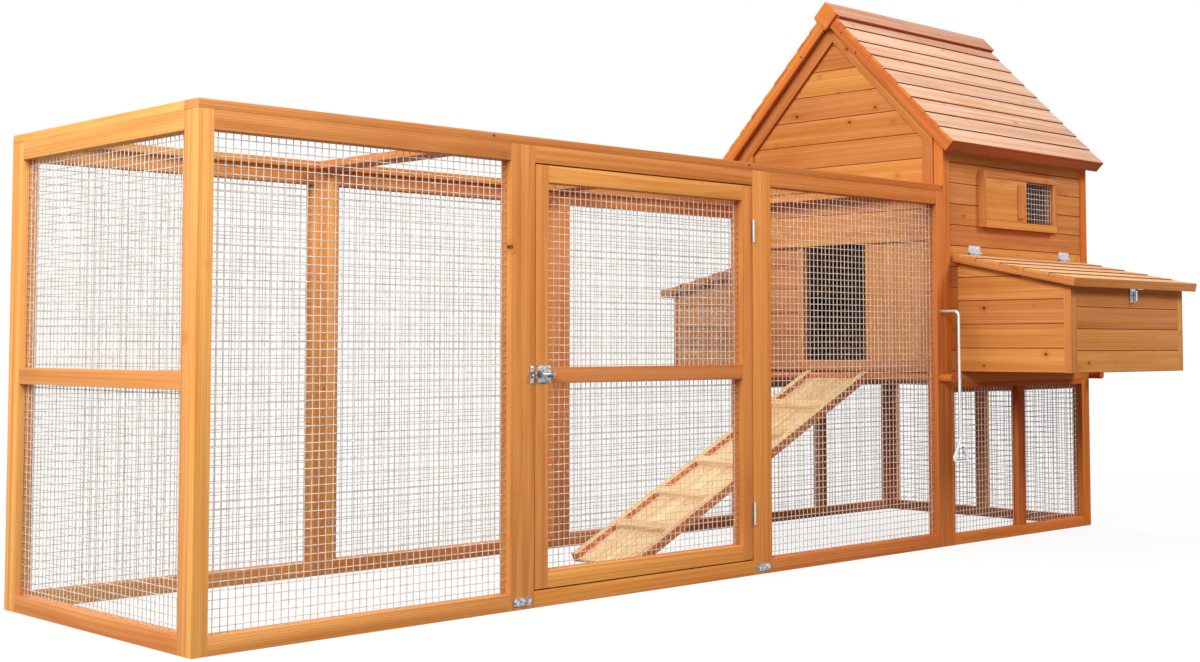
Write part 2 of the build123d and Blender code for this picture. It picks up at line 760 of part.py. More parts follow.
save("window_mesh", [mesh_sheet(front, pane_u, board_face, pane_z)])
shutter_u = (slot_x[0] + fit_gap, slot_x[0] + fit_gap + shutter_w)
shutter = [piece(front, shutter_u, (panel_out, panel_out + panel_t), shutter_z)]
field_out = lip_d[0] + shutter_sunk
field_z = (pane_z[0] + fit_gap, pane_z[1] - fit_gap)
shutter.append(piece(front, shutter_u, (field_out, panel_out), field_z))
grip_u = (shutter_u[1] - grip_inset - grip_w, shutter_u[1] - grip_inset)
grip_z = span(sum(field_z) / 2, grip_h)
shutter.append(piece(front, grip_u, (field_out - grip_t, field_out), grip_z))
save("shutter", shutter)

# Pop door and the two guide rails it slides between
pop_door_z = (pop_z[0] - lip_lap + fit_gap, pop_z[1] + lip_lap - fit_gap)
pop_rail_u = (y_front + pop_rail_start, y_back - pop_rail_end)
pop_low = (house_floor, pop_z[0])
pop_high = (pop_z[1], pop_z[1] + pop_rail_h)
pop_rails = [piece(gable, pop_rail_u, lip_d, pop_low), piece(gable, pop_rail_u, lip_d, pop_high)]
pop_rails.append(piece(gable, pop_rail_u, spacer_d, (pop_low[0], pop_door_z[0] - fit_gap)))
pop_rails.append(piece(gable, pop_rail_u, spacer_d, (pop_door_z[1] + fit_gap, pop_high[1])))
stop_start = y_front + pop_door_start + pop_travel + pop_door_w + fit_gap
stop_z = (pop_door_z[0] - fit_gap, pop_door_z[1] + fit_gap)
pop_rails.append(piece(gable, (stop_start, stop_start + stop_w), spacer_d, stop_z))
save("pop_rails", pop_rails)
pop_door_u = (y_front + pop_door_start, y_front + pop_door_start + pop_door_w)
save("pop_door", [piece(gable, pop_door_u, (panel_out, panel_out + panel_t), pop_door_z)])

# Ramp, hung on the pole by its two side rails
fall = pole_z - ramp_toe_gap
toe_reach = math.hypot(ramp_len, ramp_rail_low)
ramp_angle = math.asin(fall / toe_reach) - math.atan2(ramp_rail_low, ramp_len)


def on_ramp(s, n, y):
    """A point s down the ramp from the pole and n above its middle line."""
    x = pole_x - s * math.cos(ramp_angle) - n * math.sin(ramp_angle)
    return (x, y, pole_z - s * math.sin(ramp_angle) + n * math.cos(ramp_angle))


def ramp_piece(s, n, y):
    """A square-edged piece of the ramp."""
    corners = [(s[0], n[0]), (s[1], n[0]), (s[1], n[1]), (s[0], n[1])]
    return prism([on_ramp(*corner, y[0]) for corner in corners], (0, y[1] - y[0], 0))


ramp_y = (y_front + ramp_start, y_front + ramp_start + ramp_w)
ramp_rails = []
for y in ((ramp_y[0], ramp_y[0] + ramp_rail_t), (ramp_y[1] - ramp_rail_t, ramp_y[1])):
    rail = ramp_piece((0, ramp_len), (-ramp_rail_low, ramp_eye_r), y)
    eye = round_bar((pole_x, y[0], pole_z), (pole_x, y[1], pole_z), ramp_eye_r)
    bore = round_bar((pole_x, y[0], pole_z), (pole_x, y[1], pole_z), pole_r + pin_clear)
    ramp_rails.append(eye + rail - bore)
save("ramp_rails", ramp_rails)
deck_y = (ramp_y[0] + ramp_rail_t, ramp_y[1] - ramp_rail_t)
deck = [ramp_piece((ramp_deck_start, ramp_len), (ramp_deck_top - ramp_deck_t, ramp_deck_top), deck_y)]
for index in range(cleat_count):
    s = ramp_len - cleat_start - index * cleat_pitch
    deck.append(ramp_piece((s - cleat_w, s), (ramp_deck_top, ramp_eye_r), deck_y))
save("ramp_deck", deck)

# Nest box: boarded sides and front, corner posts, floor and a divider
nest_z0 = house_floor
post_y = (y_nest, y_nest + nest_post_d)
box_top = lid_under(y_nest)
post_outline = cut_off(post_y, nest_z0, lid_under)
nest_posts = [slope_prism((nest_x0, nest_x0 + nest_post_w), post_outline)]
nest_posts.append(slope_prism((nest_x1 - nest_post_w, nest_x1), post_outline))
nest_side_u = (post_y[1], y_front + board_face)
nest_room = slope_prism((nest_x0, nest_x1), cut_off(nest_side_u, nest_z0, lid_under))
nest = []
for u, z in board_rows(nest_side_u, nest_z0, lid_under(nest_side_u[1]), nest_side_pitch, nest_side_pitch):
    nest.append(board(nest_left, u, z, 0) & nest_room)
    nest.append(board(nest_right, u, z, 0) & nest_room)
nest_face_u = (nest_x0 + nest_post_w, nest_x1 - nest_post_w)
for u, z in board_rows(nest_face_u, nest_z0, box_top, side_pitch, side_pitch):
    nest.append(board(nest_face, u, z, 0))
nest_y = (y_nest + board_t, y_front + board_face)
nest_floor = block(pass_u, nest_y, (nest_z0, nest_z0 + nest_floor_t))
for part in nest_posts:
    nest_floor = nest_floor - part
nest_mid = (nest_x0 + nest_x1) / 2
divider_z = (nest_z0 + nest_floor_t, nest_z0 + nest_floor_t + nest_divider_h)
nest.append(nest_floor)
nest.append(block(span(nest_mid, board_t), nest_y, divider_z))
nest += nest_posts
save("nest_front", nest)
save("nest_back", mirrored(nest))

# Nest lid: slats on a rim that drops over the box
slat_step = (lid_len - lid_edge) / lid_slats
lid = []
for index in range(lid_slats):
    t0 = lid_edge + index * slat_step
    t1 = t0 + slat_step - (slat_gap if index < lid_slats - 1 else 0)
    corners = [(t0, -lid_slat_t), (t1, -lid_slat_t), (t1, 0), (t0, -slat_taper)]
    lid.append(slope_prism((lid_x0, lid_x1), [on_lid(*corner) for corner in corners]))
rim_h = (-lid_t, -lid_slat_t)
rim_x = (nest_x0 - lid_rim_gap, nest_x1 + lid_rim_gap)
lid.append(lid_piece((lid_x0, rim_x[0]), (lid_edge, lid_len), rim_h))
lid.append(lid_piece((rim_x[1], lid_x1), (lid_edge, lid_len), rim_h))
lid.append(lid_piece(rim_x, (rim_start, lid_len), rim_h))
inner_rim_x = (nest_x0 + board_t + lid_rim_gap, nest_x1 - board_t - lid_rim_gap)
lid.append(lid_piece(inner_rim_x, (lid_edge, lid_edge + lid_rim_w), rim_h))
save("lid_front", lid)
save("lid_back", mirrored(lid))

# Lid hinges: one leaf on the wall boards, the other on the lid's edge
lid_axis = (y_front + lid_axis_in, lid_z + lid_axis_up)
lid_knuckle = (lid_hinge_len - 2 * knuckle_gap) / 3
lid_leaf_y = (y_front + board_face - leaf_t, y_front + board_face)
lid_leaf_top = lid_axis[1] + lid_leaf_h


def lid_bar(x, radius):
    """A round bar along the lid's hinge axis."""
    return round_bar((x[0], *lid_axis), (x[1], *lid_axis), radius)


wall_leaves = []
lid_fittings = []
for start in (nest_x0 + lid_hinge_left, nest_x1 - lid_hinge_right - lid_hinge_len):
    whole = (start, start + lid_hinge_len)
    mid = (start + lid_knuckle + knuckle_gap, whole[1] - lid_knuckle - knuckle_gap)
    clear_z = lid_axis[1] + lid_hinge_r + knuckle_gap
    fixed = lid_bar(whole, lid_hinge_pin_r) + block(whole, lid_leaf_y, (clear_z, lid_leaf_top))
    for end in ((start, start + lid_knuckle), (whole[1] - lid_knuckle, whole[1])):
        fixed += lid_bar(end, lid_hinge_r)
        fixed += block(end, lid_leaf_y, (lid_axis[1], lid_leaf_top))
    moving = lid_piece(whole, (lid_edge - leaf_t, lid_edge), (-lid_leaf_h, -lid_leaf_drop))
    moving += lid_piece(mid, (lid_edge - leaf_t, lid_edge), (-lid_leaf_h, lid_axis_up))
    moving += lid_bar(mid, lid_hinge_r)
    wall_leaves.append(fixed)
    lid_fittings.append(moving - lid_bar(whole, lid_hinge_pin_r + pin_clear))
save("lid_hinge_fixed", wall_leaves + mirrored(wall_leaves))

# Turn latch: a forked tongue on the lid hangs round a stem with a turning head
latch_x = nest_mid + latch_offset
root_z = on_lid(rim_start, -lid_t)[1]
latch_height = root_z - latch_drop
tongue_x = span(latch_x, tongue_w)
tongue_y = (y_nest - tongue_gap - plate_t, y_nest - tongue_gap)
tongue = lid_piece(tongue_x, (rim_start, lid_len), (-lid_t - plate_t, -lid_t))
tongue += block(tongue_x, tongue_y, (root_z - tongue_len, root_z - plate_t / 2))
slot_z = (root_z - tongue_len, latch_height + tongue_slot)
tongue -= block(span(latch_x, tongue_slot), tongue_y, slot_z)
lid_fittings.append(tongue)
save("lid_front_fittings", lid_fittings)
save("lid_back_fittings", mirrored(lid_fittings))
stem_end = (latch_x, y_nest - plate_t - stem_len, latch_height)
bearing = round_bar((latch_x, y_nest, latch_height), stem_end, stem_r + pin_clear)
latch_base = block(span(latch_x, latch_plate), (y_nest - plate_t, y_nest), span(latch_height, latch_plate))
latch_bases = [latch_base - bearing]
save("latch_plates", latch_bases + mirrored(latch_bases))
turn = round_bar((latch_x, y_nest, latch_height), stem_end, stem_r)
head_plane = Plane(origin=stem_end, x_dir=(0, 0, 1), z_dir=(0, -1, 0))
turn += head_plane * extrude(SlotOverall(turn_len, turn_w), turn_t)
save("turn_front", [turn])
save("turn_back", mirrored([turn]))
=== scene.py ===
import json
import math
import random

import bmesh
import bpy
from mathutils import Matrix, Vector

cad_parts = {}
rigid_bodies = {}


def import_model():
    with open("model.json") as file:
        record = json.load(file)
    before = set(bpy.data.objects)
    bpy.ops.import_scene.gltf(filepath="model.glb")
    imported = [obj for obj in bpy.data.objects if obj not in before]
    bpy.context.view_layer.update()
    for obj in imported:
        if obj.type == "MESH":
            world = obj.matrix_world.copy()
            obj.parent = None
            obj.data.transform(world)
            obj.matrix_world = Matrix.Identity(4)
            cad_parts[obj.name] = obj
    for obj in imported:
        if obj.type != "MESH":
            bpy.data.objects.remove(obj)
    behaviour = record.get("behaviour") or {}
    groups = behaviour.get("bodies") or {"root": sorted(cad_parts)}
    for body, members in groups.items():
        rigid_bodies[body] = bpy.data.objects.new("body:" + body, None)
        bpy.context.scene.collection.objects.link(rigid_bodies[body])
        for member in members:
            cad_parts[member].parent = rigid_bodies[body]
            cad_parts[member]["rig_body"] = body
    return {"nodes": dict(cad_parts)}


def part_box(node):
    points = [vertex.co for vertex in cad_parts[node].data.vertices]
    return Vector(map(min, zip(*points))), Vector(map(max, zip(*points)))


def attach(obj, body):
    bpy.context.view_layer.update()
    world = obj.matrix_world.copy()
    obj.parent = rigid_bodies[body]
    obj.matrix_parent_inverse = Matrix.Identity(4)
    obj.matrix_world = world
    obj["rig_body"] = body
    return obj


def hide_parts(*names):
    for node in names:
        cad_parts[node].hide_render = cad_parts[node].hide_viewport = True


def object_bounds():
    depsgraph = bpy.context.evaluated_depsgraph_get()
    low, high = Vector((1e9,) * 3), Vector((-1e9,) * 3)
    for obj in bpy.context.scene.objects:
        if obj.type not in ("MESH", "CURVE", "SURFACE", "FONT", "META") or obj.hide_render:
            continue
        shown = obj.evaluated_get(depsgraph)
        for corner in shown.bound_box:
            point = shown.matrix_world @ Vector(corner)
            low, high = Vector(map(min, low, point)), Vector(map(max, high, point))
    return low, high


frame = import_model()
cad_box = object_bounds()

# The photograph's frame and camera
PHOTO_WIDTH = 1200
PHOTO_HEIGHT = 662
FOCAL_PIXELS = 1639.9
AXIS_PIXEL = (615.43, 255.61)
CAMERA_PLACE = Vector((-3.07618, -3.00147, 0.55435))
CAMERA_YAW = math.radians(44.3506)
CAMERA_PITCH = math.radians(3.1247)
SENSOR_WIDTH = 36.0

# Eased edges: their width in metres, how many widths long an edge has to be, and how they are rounded
FRAME_EASE = 0.0014
BOARD_EASE = 0.0006
METAL_EASE = 0.0003
BOLT_EASE = 0.0014
EASE_LENGTHS = 5
EASE_STEPS = 2
EASE_PROFILE = 0.6

# Angles at which faces are joined, edges are eased and shading breaks
FLAT_ANGLE = math.radians(0.5)
SHARP_ANGLE = math.radians(30)
WOOD_CREASE = math.radians(20)
METAL_CREASE = math.radians(32)
SCREW_CREASE = math.radians(35)
WIRE_CREASE = math.radians(70)

# Wire in metres. At each step it wobbles a little, and in one direction only by a share of that
WIRE_PITCH = 0.016
WIRE_RADIUS = 0.00098
WIRE_SIDES = 6
WIRE_STEP = 0.09
WIRE_WOBBLE = 0.00035
WOBBLE_ASIDE = 0.3

# Screw heads in metres, with shares of their radius and rise
SCREW_RADIUS = 0.0034
SCREW_RISE = 0.0005
SCREW_SIDES = 20
SCREW_RIM = 0.72
RECESS_ARM = 0.5
RECESS_HALF = 0.13
RECESS_FLOOR = 0.2

# Places of screws in metres or as shares of a piece's size, and the thickness of what they hold
CAP_SCREW_X = (-0.870, -0.057, 0.756)
CAP_SCREW_LEVEL = 0.62
BARGE_SCREW_YZ = ((0.099, 1.417), (-0.052, 1.471), (-0.104, 1.405))
LEAF_THICK = 0.0012
LEAF_SCREW_SHARES = (0.22, 0.78)
LEAF_SCREW_DROP = 0.008
PLATE_THICK = 0.0015
PLATE_INSET = 0.0062

# Knots in metres: their distance on each wood, their radius, and shares of these
TIMBER_KNOTS = 0.1
BOARD_KNOTS = 0.056
ROOF_KNOTS = 0.07
KNOT_SMALL = 0.0015
KNOT_LARGE = 0.0042
KNOT_STRETCH = (0.75, 1.0, 0.2)
KNOT_MISSING = 0.25
KNOT_INNER = 0.7
KNOT_OUTER = 1.25
KNOT_HALO = 4.5

# Growth rings in metres: their width, how far they sway and swirl, and how far off a board's pith is
RING = 0.0046
SWAY_REACH = 0.022
SWIRL_REACH = 0.004
PITH_NEAR = 0.03
PITH_FAR = 0.12

# Where in a ring, from 0 to 1, the late wood starts and is darkest
LATE_START = 0.3
LATE_FULL = 0.9

# Length in metres along which the grain of each board has its start, and the seed of what differs by board
GRAIN_LENGTH = 40
BOARD_SEED = "3726 "

# Scales along, across and through a board: of the way to its pith, and of the grain's noises per metre
ACROSS_ONLY = (0.0, 1.0, 1.0)
SWAY_SCALE = (1.1, 6.0, 6.0)
FIBRE_SCALE = (6.0, 520.0, 520.0)
STREAK_SCALE = (0.7, 75.0, 75.0)
BAND_SCALE = (0.9, 26.0, 26.0)
CLOUD_SCALE = (3.0, 12.0, 12.0)

# Where each noise begins to show and shows in full, and how strong it and the other marks are
STREAK_RANGE = (0.32, 0.68)
BAND_RANGE = (0.5, 0.75)
BAND_SHARE = 0.55
CLOUD_RANGE = (0.5, 0.8)
CLOUD_SHARE = 0.45
FIBRE_RANGE = (0.5, 0.8)
FIBRE_SHARE = 0.4
RING_SHARE = 0.34
HALO_SHARE = 0.45
KNOT_SHARE = 0.92

# Shares of a wood's colour in its early wood, its body, its late wood, its knots, and its painted shade on
# faces that look down
PALE = (1.16, 1.3, 1.65)
MIDDLE = (1.0, 1.0, 1.0)
DEEP = (0.74, 0.5, 0.3)
KNOT = (0.12, 0.07, 0.05)
PAINTED_SHADE = (0.52, 0.17, 0.15)

# Marks on faces of wood: above 0 for eased corners, paler as wear and a painted highlight, below 0 for sides
# of joints, and what shows in full
WORN_AND_HIGHLIT = 1.0
WORN_AND_HIGHLIT_FULL = 3.0
BOARD_JOINT = -1.4
SLAT_JOINT = -1.0
JOINT_FULL = -1.6

# How near the outer edge of a slatted node, in metres, the side of a slat isn't in a joint
OUTER_EDGE = 0.004

# Finish of wood: the hue that changes nothing and its shift with the tone, roughness, relief in metres
HUE_KEPT = 0.5
HUE_SHARE = 0.06
WOOD_ROUGH = (0.56, 0.8)
WOOD_RELIEF = 0.0003
FIBRE_RELIEF = 0.6
RING_RELIEF = 0.4
WOOD_SPECULAR = 0.16

# Finish of zinc: the dirt's scale per metre, its range and strength, roughness, relief in metres
DIRT_SCALE = (55.0, 55.0, 55.0)
DIRT_RANGE = (0.5, 0.8)
DIRT_SHARE = 0.5
ZINC_ROUGH_SPREAD = 0.14
ZINC_RELIEF = 0.00008

# How much of a face's normal lies along a direction
LEANING = 0.3
UPWARD = 0.7
MOSTLY = 0.8
NEARLY_ALL = 0.9

# Slats that come first in a lid, before its rims
LID_SLATS = 5

# Stage in metres, with the floor's colours, its share of plain white and the light from all around
FLOOR_SIZE = 40.0
FLOOR_NEAR = 2.2
FLOOR_FAR = 4.5
FLOOR_GLOW = 0.86
FLOOR_SEEN = (0.95, 0.95, 0.95, 1.0)
FLOOR_BOUNCE = (0.2, 0.2, 0.2, 1.0)
FLOOR_ROUGH = 0.9
WORLD_LIGHT = 0.2
WORLD_TINT = (1.0, 0.42, 0.4, 1.0)
WHITE = (1.0, 1.0, 1.0, 1.0)

# Nodes by what they are made of
FRAMES = ("end_frame", "front_frame_1", "front_frame_2", "front_frame_3", "back_frame_1", "back_frame_2",
          "back_frame_3", "run_caps", "run_cross_boards", "door_frame", "house_posts", "house_rails",
          "underhouse_frames", "barge_boards", "ridge_blocks", "support_poles")
BOARDS = ("house_floor", "front_boards", "back_boards", "gable_boards", "far_boards", "gable_trim",
          "eave_fascias", "window_frame", "pop_rails", "nest_front", "nest_back", "shutter", "pop_door")
ROOFING = ("roof_slats_front", "roof_slats_back")
LIDS = ("lid_front", "lid_back")
NETS = ("end_mesh", "front_mesh_1", "front_mesh_3", "back_mesh", "underhouse_mesh", "door_mesh",
        "window_mesh")
FITTINGS = ("door_hinge_fixed", "door_hinge_leaf", "lid_hinge_fixed", "lid_front_fittings",
            "lid_back_fittings", "latch_plates", "turn_front", "turn_back")
WORN_FITTINGS = ("connector_plates", "bolt_plate", "bolt_bar", "bolt_keeper")


class Paint:
    """A material whose nodes are added with short calls."""

    def __init__(self, name):
        self.material = bpy.data.materials.new(name)
        self.material.use_nodes = True
        self.tree = self.material.node_tree
        self.shader = self.tree.nodes["Principled BSDF"]

    def feed(self, socket, value):
        """Links a socket to another one, or sets its value."""
        if isinstance(value, bpy.types.NodeSocket):
            self.tree.links.new(value, socket)
        else:
            socket.default_value = value

    def node(self, kind, values, **settings):
        """Adds a node with its settings, and feeds its inputs."""
        made = self.tree.nodes.new("ShaderNode" + kind)
        for key, setting in settings.items():
            setattr(made, key, setting)
        for place, value in values.items():
            self.feed(made.inputs[place], value)
        return made

    def vector(self, name):
        """A vector stored on the mesh."""
        return self.node("Attribute", {}, attribute_name=name).outputs["Vector"]

    def value(self, name):
        """A number stored on the mesh."""
        return self.node("Attribute", {}, attribute_name=name).outputs["Fac"]

    def math(self, operation, *values):
        return self.node("Math", dict(enumerate(values)), operation=operation).outputs[0]

    def scaled(self, vector, factors):
        return self.node("VectorMath", {0: vector, 1: factors}, operation="MULTIPLY").outputs[0]

    def length(self, vector):
        return self.node("VectorMath", {0: vector}, operation="LENGTH").outputs["Value"]

    def noise(self, vector, detail=2.0, roughness=0.5):
        values = {"Vector": vector, "Scale": 1.0, "Detail": detail, "Roughness": roughness}
        return self.node("TexNoise", values).outputs[0]

    def rise(self, value, low, high):
        """Goes smoothly from 0 at low to 1 at high."""
        values = {0: value, 1: low, 2: high}
        return self.node("MapRange", values, interpolation_type="SMOOTHSTEP").outputs[0]

    def range(self, value, start, end):
        """Maps 0 to 1 onto start to end."""
        return self.node("MapRange", {0: value, 3: start, 4: end}).outputs[0]

    def mix(self, amount, first, second):
        values = {0: amount, 6: first, 7: second}
        return self.node("Mix", values, data_type="RGBA").outputs[2]

    def cover(self, colour, other, mask, share):
        """Lays a share of another colour over a colour where the mask shows it."""
        return self.mix(self.math("MULTIPLY", mask, share), colour, other)

    def close(self, colour, roughness, height, bump, **fixed):
        """Joins colour, roughness and relief to the shader, whose other values are fixed."""
        shader = self.shader.inputs
        self.feed(shader["Base Color"], colour)
        self.feed(shader["Roughness"], roughness)
        relief = self.node("Bump", {"Strength": 1.0, "Distance": bump, "Height": height})
        self.feed(shader["Normal"], relief.outputs[0])
        for name, value in fixed.items():
            shader[name.replace("_", " ")].default_value = value
        return self.material


def screen(red, green, blue):
    """A colour as it looks on screen, from 0 to 255, in linear light by the sRGB curve."""
    parts = []
    for part in (red / 255, green / 255, blue / 255):
        parts.append(part / 12.92 if part <= 0.04045 else ((part + 0.055) / 1.055) ** 2.4)
    return (*parts, 1.0)


def toned(colour, factors):
    """A colour with each of its parts taken times a factor."""
    return (*[part * factor for part, factor in zip(colour, factors)], 1.0)


def knots(paint, grain, cell):
    """Small dark knots, about a cell apart, and the wider swirl of grain about each."""
    spread = paint.scaled(grain, [stretch / cell for stretch in KNOT_STRETCH])
    cells = paint.node("TexVoronoi", {"Vector": spread, "Scale": 1.0})
    away = paint.math("MULTIPLY", cells.outputs["Distance"], cell)
    chance = paint.node("SeparateColor", {0: cells.outputs["Color"]}).outputs
    size = paint.range(chance[0], KNOT_SMALL, KNOT_LARGE)
    shown = paint.math("GREATER_THAN", chance[1], KNOT_MISSING)
    inner = paint.math("MULTIPLY", size, KNOT_INNER)
    outer = paint.math("MULTIPLY", size, KNOT_OUTER)
    wide = paint.math("MULTIPLY", size, KNOT_HALO)
    core = paint.math("MULTIPLY", paint.rise(away, outer, inner), shown)
    halo = paint.math("MULTIPLY", paint.rise(away, wide, size), shown)
    return core, halo


def late_wood(paint, grain, halo):
    """The darker part of the growth rings about a board's pith, which swirl round its knots."""
    sway = paint.noise(paint.scaled(grain, SWAY_SCALE), detail=1.0)
    radius = paint.length(paint.scaled(grain, ACROSS_ONLY))
    bent = paint.math("MULTIPLY_ADD", sway, SWAY_REACH, radius)
    swirl = paint.math("MULTIPLY_ADD", halo, SWIRL_REACH, bent)
    phase = paint.math("FRACT", paint.math("DIVIDE", swirl, RING))
    growing = paint.rise(phase, LATE_START, LATE_FULL)
    return paint.math("SUBTRACT", growing, paint.rise(phase, LATE_FULL, 1.0))


def wood_shades(paint, run_to_house, run_tone, house_tone):
    """The colours of a wood's parts, which go from the run's tone to the house's along the object; the last
    of them is the painted shade.
    """
    shades = []
    for factors in (PALE, MIDDLE, DEEP, KNOT, PAINTED_SHADE):
        shades.append(paint.mix(run_to_house, toned(run_tone, factors), toned(house_tone, factors)))
    return shades


def streaks(paint, grain, pale, middle, deep):
    """Fine streaks, with wider bands and clouds of the deep colour over them."""
    streak = paint.noise(paint.scaled(grain, STREAK_SCALE), detail=3.0)
    band = paint.noise(paint.scaled(grain, BAND_SCALE), detail=2.0)
    cloud = paint.noise(paint.scaled(grain, CLOUD_SCALE), detail=3.0)
    colour = paint.mix(paint.rise(streak, *STREAK_RANGE), pale, middle)
    colour = paint.cover(colour, deep, paint.rise(band, *BAND_RANGE), BAND_SHARE)
    return paint.cover(colour, deep, paint.rise(cloud, *CLOUD_RANGE), CLOUD_SHARE)


def own_tone(paint, colour, spread):
    """Each board's own brightness and warmth."""
    tone = paint.value("tone")
    level = paint.range(tone, 1 - spread, 1 + spread)
    shift = spread * HUE_SHARE
    warmth = paint.range(tone, HUE_KEPT - shift, HUE_KEPT + shift)
    return paint.node("HueSaturation", {"Hue": warmth, "Value": level, "Color": colour}).outputs[0]


def wood(name, run_tone, house_tone, spread, knot_cell):
    """Stained softwood: streaks, growth rings, fibres, knots, edges paler as wear and a painted highlight,
    painted shade on faces that look down, and a tone on each board.
    """
    paint = Paint(name)
    grain = paint.vector("grain")
    run_to_house = paint.value("run_to_house")
    edge = paint.value("edge")
    pale, middle, deep, knot, painted_shade = wood_shades(paint, run_to_house, run_tone, house_tone)
    core, halo = knots(paint, grain, knot_cell)
    late = late_wood(paint, grain, halo)
    fibre = paint.noise(paint.scaled(grain, FIBRE_SCALE), detail=3.0, roughness=0.6)
    colour = streaks(paint, grain, pale, middle, deep)
    colour = paint.cover(colour, deep, late, RING_SHARE)
    colour = paint.cover(colour, deep, paint.rise(fibre, *FIBRE_RANGE), FIBRE_SHARE)
    colour = paint.cover(colour, deep, halo, HALO_SHARE)
    colour = paint.cover(colour, knot, core, KNOT_SHARE)
    # Eased corners turn paler: wear and a painted highlight
    colour = paint.mix(paint.rise(edge, 0.0, WORN_AND_HIGHLIT_FULL), colour, pale)
    colour = paint.mix(paint.rise(edge, 0.0, JOINT_FULL), colour, knot)
    # Painted shade: faces that look down turn darker and redder, more so towards the house
    colour = paint.cover(colour, painted_shade, paint.value("under"), run_to_house)
    colour = own_tone(paint, colour, spread)
    rough = paint.range(fibre, *WOOD_ROUGH)
    height = paint.math("MULTIPLY_ADD", fibre, FIBRE_RELIEF, paint.math("MULTIPLY", late, RING_RELIEF))
    return paint.close(colour, rough, height, WOOD_RELIEF, Specular_IOR_Level=WOOD_SPECULAR)


def zinc(name, bright, dull, rough, cell, metal):
    """Zinc-coated steel: small flakes of differing grey, with a little dirt."""
    paint = Paint(name)
    place = paint.node("TexCoord", {}).outputs["Object"]
    flakes = paint.node("TexVoronoi", {"Vector": place, "Scale": 1 / cell})
    flake = paint.node("SeparateColor", {0: flakes.outputs["Color"]}).outputs[0]
    dirt = paint.noise(paint.scaled(place, DIRT_SCALE), detail=4.0, roughness=0.6)
    colour = paint.mix(flake, bright, dull)
    colour = paint.cover(colour, dull, paint.rise(dirt, *DIRT_RANGE), DIRT_SHARE)
    roughness = paint.range(flake, rough, rough + ZINC_ROUGH_SPREAD)
    return paint.close(colour, roughness, dirt, ZINC_RELIEF, Metallic=metal)


def shells(node):
    """The closed solids of a CAD node, each as a list of faces given by their corner points."""
    mesh = frame["nodes"][node].data
    loose = set()
    faces = []
    found = []
    for polygon in mesh.polygons:
        corners = [tuple(round(part, 6) for part in mesh.vertices[index].co) for index in polygon.vertices]
        faces.append(corners)
        for edge in zip(corners, corners[1:] + corners[:1]):
            if edge[::-1] in loose:
                loose.remove(edge[::-1])
            else:
                loose.add(edge)
        if not loose:
            found.append(faces)
            faces = []
    return found


def shell_box(shell):
    """Lowest and highest corner of a solid."""
    corners = [corner for face in shell for corner in face]
    return [min(parts) for parts in zip(*corners)], [max(parts) for parts in zip(*corners)]


def solid(shell):
    """One closed solid with whole flat faces."""
    made = bmesh.new()
    corners = {}
    for face in shell:
        for point in face:
            if point not in corners:
                corners[point] = made.verts.new(point)
        made.faces.new([corners[point] for point in face])
    made.normal_update()
    bmesh.ops.dissolve_limit(made, angle_limit=FLAT_ANGLE, verts=made.verts[:], edges=made.edges[:])
    return made


def ease_edges(made, ease):
    """Rounds the long sharp edges a little, and returns the faces that this makes."""
    sharp = []
    for edge in made.edges:
        long_enough = edge.calc_length() > EASE_LENGTHS * ease
        if edge.is_manifold and long_enough and edge.calc_face_angle(0) > SHARP_ANGLE:
            sharp.append(edge)
    cut = bmesh.ops.bevel(made, geom=sharp, offset=ease, segments=EASE_STEPS, profile=EASE_PROFILE,
                          affect="EDGES", clamp_overlap=True)
    return set(cut["faces"])


def smooth(mesh, crease):
    """Shades a mesh smooth, with breaks at creases."""
    mesh.shade_smooth()
    mesh.set_sharp_from_angle(angle=crease)


def new_piece(name, mesh, material, body):
    """A piece of the visual model that rides on a body."""
    piece = bpy.data.objects.new(name, mesh)
    bpy.context.scene.collection.objects.link(piece)
    mesh.materials.append(material)
    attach(piece, body)
    return piece


def stand_in(node, mesh, material):
    """Shows a finer mesh in place of a CAD node."""
    piece = new_piece(node + "_look", mesh, material, frame["nodes"][node]["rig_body"])
    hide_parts(node)


def board_axes(made):
    """The directions along, across and through a board."""
    longest = max(made.edges, key=lambda edge: edge.calc_length())
    along = (longest.verts[1].co - longest.verts[0].co).normalized()
    sides = [face for face in made.faces if abs(face.normal.dot(along)) < LEANING]
    through = max(sides, key=lambda face: face.calc_area()).normal.copy()
    through = (through - along * through.dot(along)).normalized()
    return along, through.cross(along), through


def edge_kind(face, axes, eased, kind, reach):
    """Above 0 for a corner of a frame or ramp, paler as wear and a painted highlight, below 0 for the dark
    side of a joint, otherwise 0.
    """
    along, across, through = [abs(face.normal.dot(axis)) for axis in axes]
    if kind in ("frame", "ramp"):
        return WORN_AND_HIGHLIT if face in eased else 0.0
    if face in eased or along > LEANING:
        return 0.0
    if kind in ("slat", "lid"):
        inner = abs(face.calc_center_median().y) < reach - OUTER_EDGE
        return SLAT_JOINT if across > MOSTLY and inner else 0.0
    return BOARD_JOINT if LEANING < through < NEARLY_ALL else 0.0


def shade_below(face, kind):
    """How far a face looks down, which sets how much painted shade, darker and redder, it gets. Lids and
    sides of the ramp stay plain.
    """
    if kind == "lid":
        return 0.0
    if kind == "ramp" and face.normal.z >= -UPWARD:
        return 0.0
    return max(0.0, -face.normal.z)


def second_paint(face, axes, kind):
    """Whether a face is the end or underside of a slat, or a face of the ramp that doesn't look up; these
    take the second paint, while upper faces keep the pale one: a painted sheen on slats, a painted highlight
    on the ramp.
    """
    if kind == "ramp":
        return face.normal.z < UPWARD
    end = abs(face.normal.dot(axes[0])) > MOSTLY
    return kind in ("slat", "lid") and (end or face.normal.z < 0)


def stain_at(x):
    """Goes from 0 at the run's end of the object to 1 at the house's."""
    return (x - cad_box[0][0]) / (cad_box[1][0] - cad_box[0][0])


